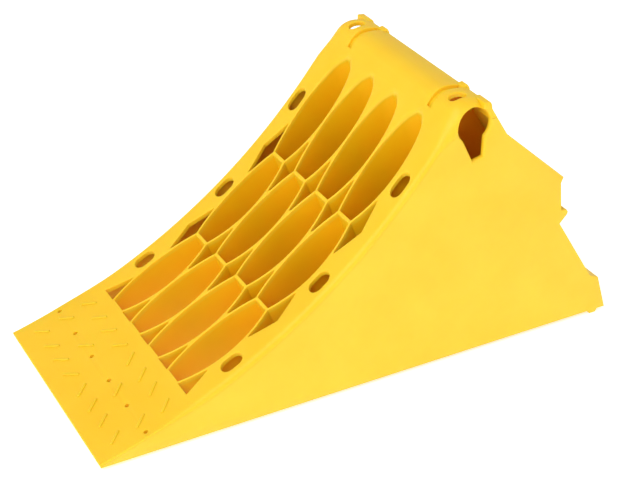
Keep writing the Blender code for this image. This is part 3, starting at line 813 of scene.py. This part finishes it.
        for outline in lattice.gaps():
            add(outline, lattice.edge)
        hole_t = self.hole_start[0] * math.cos(profile.draw_angle) + self.hole_start[1]
        first, pitch = self.hole_row
        for side in Side:
            y = side.value * (lattice.half + self.slot_inset + self.slot[1] / 2)
            for row in range(lattice.rows):
                t = lattice.start + (row + 0.5) * lattice.row_pitch + self.slot_shift
                add(oval((t, y), *self.slot), self.slot_round)
            for index in range(self.hole_count):
                place = (hole_t, side.value * (first + index * pitch))
                add(oval(place, 2 * self.hole_radius, 2 * self.hole_radius, 6), self.hole_round)
            y = side.value * (profile.reach(profile.crest_height) - self.cord_inset)
            add(oval((profile.top + self.cord_shift, y), *self.cord_hole), self.cord_round)
        return found

    def groove_outlines(self) -> list[Outline]:
        """Outlines of the two shallow grooves that run over the crest."""
        near, far = self.groove
        first, last = self.profile.ramp_end - self.groove_ends[0], self.profile.end - self.groove_ends[1]
        found = []
        for side in Side:
            low, high = sorted((side.value * near, side.value * far))
            found.append([(first, low), (last, low), (last, high), (first, high)])
        return found

    def build(self) -> Thing:
        """Lay the plate out flat, cut it at its stations and bend it."""
        mesh = bmesh.new()
        top, under = skin_rings(mesh, self.outer_rings())
        for outline, radii in self.openings():
            above, below = skin_rings(mesh, self.opening_rings(outline, radii, self.profile.skin))
            top += above
            under += below
        for outline in self.groove_outlines():
            radii = [self.groove_round] * len(outline)
            above, floor = skin_rings(mesh, self.opening_rings(outline, radii, self.groove_depth))
            top += above
            fill(mesh, floor)
        fill(mesh, top)
        fill(mesh, under)
        for t in self.profile.stations():
            bmesh.ops.bisect_plane(mesh, geom=mesh.verts[:] + mesh.edges[:] + mesh.faces[:], dist=FINE / 10,
                                   plane_co=(t, 0, 0), plane_no=(1, 0, 0))
        for vert in mesh.verts:
            vert.co = self.profile.place(vert.co.x, vert.co.y, -vert.co.z)
        return made_piece("ramp_deck", mesh)

    def grip_bars(self) -> Thing:
        """Raised diagonal bars of the toe plate, in three rows."""
        length, width, height = self.bar
        shape = Matrix.Diagonal((length, width, 2 * height, 1.0))
        centre_x, centre_z = self.profile.arc_centre
        mesh = bmesh.new()
        for x, places in self.bar_rows:
            z = self.profile.ramp_z(x)
            tilt = Matrix.Rotation(-math.atan2(x - centre_x, centre_z - z), 4, "Y")
            for y, side in ((y, side) for y in places for side in Side):
                made = bmesh.ops.create_cube(mesh, size=1.0, matrix=shape)["verts"]
                made += bevelled(mesh, [edge for vert in made for edge in vert.link_edges], self.bar_round)
                turn = Matrix.Rotation(-side.value * self.bar_turn, 4, "Z")
                spot = Matrix.Translation(self.profile.row(x, side.value * y, z))
                verts = [vert for vert in dict.fromkeys(made) if vert.is_valid]
                bmesh.ops.transform(mesh, matrix=spot @ tilt @ turn, verts=verts)
        return made_piece("toe_grip_bars", mesh)


# ---- pocket tubes ----
@dataclass
class PocketTubes:
    """The twelve pockets' walls, from the deck's underside down to just above the ground."""

    profile: Profile
    lattice: Lattice
    finishes_and_painted_shade: FinishesAndPaintedShade

    def outer_outline(self, row: int, column: int) -> Outline:
        """Outline of a tube's outer side, flush with the gaps of the deck."""
        lattice = self.lattice
        low = lattice.start + row * lattice.row_pitch
        middle = lattice.column_y(column)
        side = []
        for step in range(lattice.steps + 1):
            t = low + lattice.row_pitch * step / lattice.steps
            side.append((t, min(lattice.column_pitch / 2, lattice.half_width_at(row, t) + lattice.web)))
        return ([(t, middle - half) for t, half in side]
                + [(t, middle + half) for t, half in reversed(side)])

    def down(self, outline: Outline) -> tuple[list[Vector], list[Vector]]:
        """An outline under the deck, and the same one pulled down to the floor."""
        profile = self.profile
        upper, lower = [], []
        for t, y in outline:
            x, z = profile.below(t, profile.skin)
            upper.append(profile.row(x, y, z))
            lower.append(profile.row(x + (z - FLOOR) * math.tan(profile.draw_angle), y, FLOOR))
        return upper, lower

    def build(self, row: int, column: int) -> None:
        """Make one tube."""
        mesh = bmesh.new()
        inner_top, inner_low = self.down(self.lattice.pocket(row, column))
        outer_top, outer_low = self.down(self.outer_outline(row, column))
        edges = [add_ring(mesh, points) for points in (outer_low, outer_top, inner_top, inner_low)]
        for first, second in zip(edges, edges[1:] + edges[:1]):
            bmesh.ops.bridge_loops(mesh, edges=first + second)
        name = "pocket_row%d_column%d" % (row + 1, column + 1)
        # The tubes wear the deeper orange pocket finish, which is painted shade for the pockets' hollows.
        self.finishes_and_painted_shade.dress(made_piece(name + "_tube", mesh), "pocket", [name])


# ---- side walls ----
@dataclass
class SideWalls:
    """The two flat sides, with their keyholes, hood cheeks, heels and feet."""

    profile: Profile
    deck: RampDeck
    edge_round: float = 0.0009
    keyhole_back: float = 0.0225        # of the head's centre, from the rear wall's plane
    keyhole_drop: float = 0.0190        # of the head's centre, from the crest's top
    keyhole_radius: float = 0.0145
    keyhole_neck: float = 0.019
    keyhole_foot: float = 0.009
    keyhole_length: float = 0.0305      # from the head's centre to the slot's lower corner
    keyhole_flare: float = 0.0022
    keyhole_steps: int = 24
    cut_reach: Point = (0.018, 0.004)   # of the cutter, inwards and outwards
    hood_drop: float = 0.033
    hood_tip_drop: float = 0.0863
    hood_reach: float = 0.0265
    hood_lip: Point = (0.0020, 0.0050)
    sill_drop: float = 0.1178
    sill_rise: float = 0.0123
    sill_corner: Point = (0.0006, 0.0004)
    bead_step: float = 0.0042
    bead_radius: float = 0.0033
    foot: Triple = (0.008, 0.009, 0.003)    # from the heel, length, height

    @cached_property
    def hood_edge(self) -> Outline:
        """Side points of the hood: its root, its tip and its lip."""
        profile = self.profile
        root_z, tip_z = (profile.crest_height - drop for drop in (self.hood_drop, self.hood_tip_drop))
        tip_x = profile.rear_x(tip_z) + self.hood_reach
        return [(profile.rear_x(root_z), root_z), (tip_x, tip_z),
                (tip_x - self.hood_lip[0], tip_z - self.hood_lip[1])]

    @cached_property
    def sill_base(self) -> Point:
        """Side point where the sill's underside meets the rear wall."""
        z = self.profile.crest_height - self.sill_drop - self.sill_rise
        return self.profile.rear_x(z), z

    def bead(self, first: float, last: float, steps: int) -> Outline:
        """Side outline of the sill's bead between two directions in degrees."""
        centre_x = self.hood_edge[1][0] + self.bead_step
        centre_z = self.profile.crest_height - self.sill_drop - self.bead_radius
        turns = [math.radians(first + (last - first) * step / steps) for step in range(steps + 1)]
        return [(centre_x + self.bead_radius * math.cos(turn), centre_z + self.bead_radius * math.sin(turn))
                for turn in turns]

    def seam(self) -> Outline:
        """Lower end of the deck's turned-down edge, from the toe to the rear."""
        points = [self.profile.below(self.profile.start, self.profile.skin)]
        return points + [self.profile.below(t, self.deck.skirt_depth(t)) for t in self.profile.stations()[1:]]

    def rear(self) -> Outline:
        """Rear outline from under the crest down to the heel, with the hood's cheek and the sill."""
        profile = self.profile
        corner = (self.hood_edge[1][0] + self.sill_corner[0],
                  profile.crest_height - self.sill_drop + self.sill_corner[1])
        return (self.hood_edge + [corner] + self.bead(110, -50, 5)
                + [self.sill_base, profile.ledge, (profile.ledge[0] + profile.ledge_run, profile.heel_height),
                   (profile.length, 0.0)])

    def base(self) -> Outline:
        """Lower outline from the heel forwards, with the rear foot."""
        gap, length, height = self.foot
        end = self.profile.length - gap
        return [(end, 0.0), (end - height / 2, -height), (end - length + height / 2, -height),
                (end - length, 0.0)]

    def on_wall(self, side: Side, outline: Outline, depth: float) -> list[Vector]:
        """Frame places of an outline, a depth below one wall's outer face."""
        return [self.profile.row(x, side.value * (self.profile.reach(z) - depth), z) for x, z in outline]

    def build(self, side: Side) -> Thing:
        """Make one wall, not yet cut, whose edges are rounded except along the deck."""
        seam = self.seam()
        z = seam[-1][1]
        outline = seam + [(self.profile.rear_x(z), z)] + self.rear() + self.base()
        rings = []
        for outside, depth in round_steps(self.edge_round) + [(0.0, self.profile.wall)]:
            shrunk = grown(outline[::-1], -outside)[::-1]
            rings.append(self.on_wall(side, seam + shrunk[len(seam):], depth))
        return capped_piece(side.word + "_side_shell", rings)

    def keyhole_outline(self) -> Outline:
        """Anticlockwise outline of the keyhole: a round head over a slot that narrows downwards."""
        radius, count = self.keyhole_radius, self.keyhole_steps
        centre_z = self.profile.crest_height - self.keyhole_drop
        centre_x = self.profile.rear_x(centre_z) - self.keyhole_back
        open_angle = math.asin(self.keyhole_neck / 2 / radius)
        turns = [open_angle + (2 * math.pi - 2 * open_angle) * step / count for step in range(count + 1)]
        low_z = centre_z - self.keyhole_length
        return ([(centre_x + radius * math.sin(turn), centre_z - radius * math.cos(turn)) for turn in turns]
                + [(centre_x, low_z), (centre_x + self.keyhole_foot, low_z + self.keyhole_foot / 4)])

    def keyhole_cutter(self, side: Side) -> Thing:
        """Solid of the keyhole, flared where it comes out of the wall."""
        outline = self.keyhole_outline()
        inwards, outwards = self.cut_reach
        steps = [(0.0, inwards)] + round_steps(self.keyhole_flare, 4)[::-1] + [(self.keyhole_flare, -outwards)]
        rings = [self.on_wall(side, grown(outline, outside) if outside else outline, depth)
                 for outside, depth in steps]
        return capped_piece(side.word + "_keyhole_cutter", rings)


# ---- crest fittings and rear ----
@dataclass
class CrestFittings:
    """Stops at the grooves' rear ends and the square rear edges of the ears.

    Shapes are side points, measured from the edge between the crest and the rear wall.
    """

    profile: Profile
    deck: RampDeck
    proud: float = 0.00005              # keeps two planes from lying in one another
    flange_inner: float = 0.082
    flange_length: float = 0.0050
    flange_lift: float = 0.0001         # of its front over the crest
    flange_shape: tuple[Point, ...] = ((0.0014, 0.0008), (0.0028, -0.0018))
    flange_drop: float = 0.0052
    flange_round: float = 0.0008
    nub: Point = (0.057, 0.066)         # |y| of its two faces
    nub_shape: tuple[Point, ...] = ((-0.0039, 0.0010), (0.0012, 0.0022), (0.0032, -0.0010))
    nub_drop: float = 0.0067
    nub_depth: float = 0.006
    nub_round: float = 0.0009

    def flange(self, side: Side) -> Thing:
        """Square rear edge of one ear, which fills the corner down to the side wall."""
        profile = self.profile
        x, z, _ = profile.station(profile.end)
        front_x, front_z, _ = profile.station(profile.end - self.flange_length)
        low_z = profile.below(profile.end, self.deck.skirt_depth(profile.end))[1]
        outline = [(front_x, low_z), (front_x, front_z + self.flange_lift)]
        outline += [(x + run, z + rise) for run, rise in self.flange_shape]
        outline += [(profile.rear_x(height) + self.proud, height) for height in (z - self.flange_drop, low_z)]
        mesh = bmesh.new()
        add_plank(mesh, profile, outline, level(side.value * self.flange_inner),
                  lambda z: side.value * (profile.reach(z) + self.proud), self.flange_round, True)
        return made_piece(side.word + "_ear_flange", mesh)

    def nubs(self) -> Thing:
        """Both stops."""
        profile = self.profile
        x, z, _ = profile.station(profile.end)
        low_z = z - self.nub_drop
        outline = [(x + run, z + rise) for run, rise in self.nub_shape]
        outline += [(profile.rear_x(low_z) + shift, low_z) for shift in (self.proud, -self.nub_depth)]
        mesh = bmesh.new()
        for side in Side:
            near, far = (level(side.value * y) for y in self.nub)
            add_plank(mesh, profile, outline, near, far, self.nub_round, True)
        return made_piece("groove_stops", mesh)


@dataclass
class Rear:
    """Rear wall with the hand window, the hood, the sill, the heel band, the ribs and the toe rib."""

    profile: Profile
    walls: SideWalls
    finishes_and_painted_shade: FinishesAndPaintedShade
    edge_round: float = 0.0006
    overlap: float = 0.0002             # of the ribs with the plates that they carry
    window_width: float = 0.120
    window_margin: float = 0.008
    window_round: float = 0.0015
    wall_steps: int = 6
    hood_thickness: float = 0.0076      # measured upright, at the rear wall
    hood_lip: float = 0.0015
    sill_height: float = 0.0055         # at the rear wall
    rib: float = 0.003
    rib_place: float = 0.063            # |y| of its middle
    rib_run: Point = (-0.012, -0.003)   # its start from the ramp's end, its end from the plate's
    rib_steps: int = 12
    rib_foot: float = 0.010
    toe_rib_x: float = 0.050
    toe_rib_inset: float = 0.012
    toe_rib_round: float = 0.0005

    def inner(self, z: float) -> float:
        """Half of the width between the side walls at height z."""
        return self.profile.reach(z) - self.profile.wall

    def outer(self, z: float) -> float:
        """The same on the right-hand side."""
        return -self.inner(z)

    def member(self, name: str, node: str, outline: Outline, faces: tuple[Face, Face], bevel: float = 0.0,
               ends: bool = False, kept: tuple[int, ...] = (), tint: str = "") -> None:
        """Make a member with a side outline and let it stand for a node.

        Args:
            name: Name of the piece.
            node: The CAD node.
            outline: Side outline.
            faces: The member's two upright faces.
            bevel: Width of the bevel along its edges, or 0 for none.
            ends: Whether the edges round the two faces are bevelled as well.
            kept: Numbers of the outline's points whose long edges stay sharp.
            tint: Another finish whose material it wears, if any, such as the deep orange painted shade of the
                inside.
        """
        mesh = bmesh.new()
        add_plank(mesh, self.profile, outline, *faces, bevel, ends, kept)
        self.finishes_and_painted_shade.dress(made_piece(name, mesh), "wall", [node], tint)

    def wall(self) -> None:
        """Sloping rear wall, laid out as (z, y) and sheared along x."""
        profile, walls, thick = self.profile, self.walls, self.profile.skin
        low_z, top_z = profile.ledge[1], profile.station(profile.end)[1]
        heights = [low_z + (top_z - low_z) * step / self.wall_steps for step in range(self.wall_steps + 1)]
        outline = [(z, self.outer(z)) for z in heights] + [(z, self.inner(z)) for z in reversed(heights)]
        high = profile.crest_height - walls.hood_drop - self.window_margin - thick
        low = profile.crest_height - walls.sill_drop + self.window_margin
        oblong = oval((0.0, 0.0), self.window_width, high - low, 8)
        window = [((high + low) / 2 + up, across) for across, up in reversed(oblong)]

        def ring(points: Outline, depth: float) -> list[Vector]:
            """Frame places of (z, y) points, a depth below the wall's outer face."""
            return [profile.row(profile.rear_x(z, depth), y, z) for z, y in points]

        mesh = bmesh.new()
        steps = round_steps(self.window_round)
        steps += [(outside, thick - depth) for outside, depth in reversed(steps)]
        above, below = skin_rings(mesh, [ring(grown(window, outside), depth) for outside, depth in steps])
        outer, inside = skin_rings(mesh, [ring(outline, 0.0), ring(outline, thick)])
        fill(mesh, outer + above)
        fill(mesh, inside + below)
        self.finishes_and_painted_shade.dress(made_piece("rear_panel", mesh), "wall", ["rear_wall"])

    def rear_members(self) -> None:
        """Hood over the hand window, beaded sill under it and heel band across the base."""
        profile, walls, faces = self.profile, self.walls, (self.outer, self.inner)
        root, tip, lip = walls.hood_edge
        slope = (tip[1] - root[1]) / (tip[0] - root[0])
        under_z = root[1] - self.hood_thickness
        under_x = profile.rear_x(under_z)
        inner_x = lip[0] - self.hood_lip
        outline = [root, tip, lip, (inner_x, under_z + slope * (inner_x - under_x)), (under_x, under_z)]
        self.member("hood_panel", "grip_hood", outline, faces, self.edge_round, kept=(0, 4))

        top_z = walls.sill_base[1] + self.sill_height
        bead = walls.bead(-50, 180, 10)
        outline = [walls.sill_base] + bead + [(bead[-1][0], top_z), (profile.rear_x(top_z), top_z)]
        self.member("sill_panel", "grip_sill", outline, faces)

        x, z = profile.ledge
        heel_x, heel_z, thick = x + profile.ledge_run, profile.heel_height, profile.skin
        outline = [(x, z), (heel_x, heel_z), (profile.length, 0.0), (profile.length - thick, 0.0),
                   (heel_x - thick, heel_z - thick), (x - thick, z - thick / 2)]
        self.member("heel_panel", "heel_band", outline, faces, self.edge_round, kept=(0, 5))

    def ribs(self) -> None:
        """Upright ribs between the pockets and the rear wall, and the cross rib under the toe plate."""
        profile = self.profile
        depth = profile.skin - self.overlap
        start, end = profile.ramp_end + self.rib_run[0], profile.end + self.rib_run[1]
        top = [profile.below(start + (end - start) * step / self.rib_steps, depth)
               for step in range(self.rib_steps + 1)]
        top = [(x, z) for x, z in top if x < profile.rear_x(z, depth)]
        first_x, first_z = top[0]
        outline = top + [(profile.rear_x(z, depth), z) for z in (top[-1][1], profile.ledge[1])]
        outline += [(profile.ledge[0] - self.rib_foot, FLOOR),
                    (first_x + (first_z - FLOOR) * math.tan(profile.draw_angle), FLOOR)]
        shifts = (-self.rib / 2, self.rib / 2)
        for side in Side:
            near, far = (level(side.value * (self.rib_place + shift)) for shift in shifts)
            # The ribs, seen through the keyholes, wear the deep orange inside finish: painted shade for the
            # hollow chock.
            self.member(side.word + "_rib_panel", side.word + "_rear_rib", outline, (near, far), tint="inside")
        front, back = self.toe_rib_x, self.toe_rib_x + profile.wall
        foot = -self.walls.foot[2]
        outline = [(front, foot), (back, foot), (back, profile.ramp_z(back, depth)),
                   (front, profile.ramp_z(front, depth))]
        half = profile.half_width - profile.wall - self.toe_rib_inset
        self.member("toe_rib_panel", "toe_rib", outline, (level(-half), level(half)), self.toe_rib_round, True)

    def build(self) -> None:
        """Make every member of the rear."""
        self.wall()
        self.rear_members()
        self.ribs()


# ---- camera, light and floor ----
@dataclass
class Studio:
    """White floor, soft light and the camera."""

    camera_place: Triple = (-0.52710, -0.98166, 0.75553)
    camera_forward: Triple = (0.40350808, 0.75541626, -0.51626301)
    lens: float = 90.62
    sensor: float = 36.0
    clip: Point = (0.01, 20.0)
    floor_size: float = 6.0
    lamps: tuple = (("key_light", (-1.7, -0.9, 1.9), 2.0, 42), ("fill_light", (1.2, -2.0, 1.3), 2.0, 10))
    target: Triple = (0.0, 0.0, 0.1)        # what the lamps face
    sky: float = 0.62

    def aimed(self, name: str, data: bpy.types.ID, place: Triple, forward: Vector) -> Thing:
        """Put a camera or a lamp into the scene, at a place and facing a direction."""
        thing = linked(name, data)
        thing.location = place
        thing.rotation_mode = "QUATERNION"
        thing.rotation_quaternion = forward.to_track_quat("-Z", "Y")
        return thing

    def camera(self) -> None:
        """Place the camera above the toe's right-hand corner."""
        data = bpy.data.cameras.new("camera")
        data.lens, data.sensor_width = self.lens, self.sensor
        data.clip_start, data.clip_end = self.clip
        forward = Vector(self.camera_forward)
        bpy.context.scene.camera = self.aimed("camera", data, self.camera_place, forward)

    def floor(self) -> None:
        """Wide white floor that glows a little, so that it stays white in the shade."""
        mesh = bmesh.new()
        bmesh.ops.create_grid(mesh, x_segments=1, y_segments=1, size=self.floor_size)
        piece = made_piece("floor", mesh)
        material = bpy.data.materials.new("white_paper")
        material.use_nodes = True
        set_inputs(material.node_tree.nodes["Principled BSDF"],
                   {"Base Color": (0.94, 0.94, 0.94, 1.0), "Roughness": 0.9,
                    "Emission Color": (1.0, 0.99, 0.96, 1.0), "Emission Strength": 0.45})
        piece.data.materials.append(material)
        piece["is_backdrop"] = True

    def build(self) -> None:
        """Set everything up."""
        self.camera()
        self.floor()
        for name, place, size, power in self.lamps:
            data = bpy.data.lights.new(name, "AREA")
            data.shape, data.size, data.energy = "SQUARE", size, power
            self.aimed(name, data, place, Vector(self.target) - Vector(place))
        world = bpy.data.worlds.new("studio")
        world.use_nodes = True
        set_inputs(world.node_tree.nodes["Background"], {"Color": (1.0, 1.0, 1.0, 1.0), "Strength": self.sky})
        bpy.context.scene.world = world
        bpy.context.scene.view_settings.view_transform = "Standard"


def main() -> None:
    """Build the chock round the frame."""
    logging.basicConfig(level=logging.INFO, format="%(name)s %(message)s")
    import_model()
    cad_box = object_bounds()
    low, high = cad_box
    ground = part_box("heel_band")[0].z
    sizes = (low.x, ground, high.x - low.x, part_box("toe_plate")[1].y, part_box("crest")[1].z - ground)
    profile = Profile(*(round(size, SIZE_DIGITS) for size in sizes))
    finishes_and_painted_shade = FinishesAndPaintedShade()
    lattice = Lattice()
    deck = RampDeck(profile, lattice)
    walls = SideWalls(profile, deck)
    plate = deck.build()
    cutters = [walls.keyhole_cutter(side) for side in Side]
    for cutter in cutters:
        carve(plate, cutter)
    fittings = CrestFittings(profile, deck)
    for side, cutter in zip(Side, cutters):
        flange = fittings.flange(side)
        carve(flange, cutter)
        finishes_and_painted_shade.dress(flange, "deck", [])
    finishes_and_painted_shade.dress(fittings.nubs(), "deck", [])
    finishes_and_painted_shade.dress(plate, "deck", ["toe_plate", "left_rail", "right_rail", "crest", "left_ear", "right_ear"])
    finishes_and_painted_shade.dress(deck.grip_bars(), "deck", [])
    tubes = PocketTubes(profile, lattice, finishes_and_painted_shade)
    for row in range(lattice.rows):
        for column in range(lattice.columns):
            tubes.build(row, column)
    for side, cutter in zip(Side, cutters):
        wall = walls.build(side)
        carve(wall, cutter)
        finishes_and_painted_shade.dress(wall, "wall", [side.word + "_side_wall"])
        bpy.data.objects.remove(cutter, do_unlink=True)
    Rear(profile, walls, finishes_and_painted_shade).build()
    Studio().build()


if __name__ == "__main__":
    main()
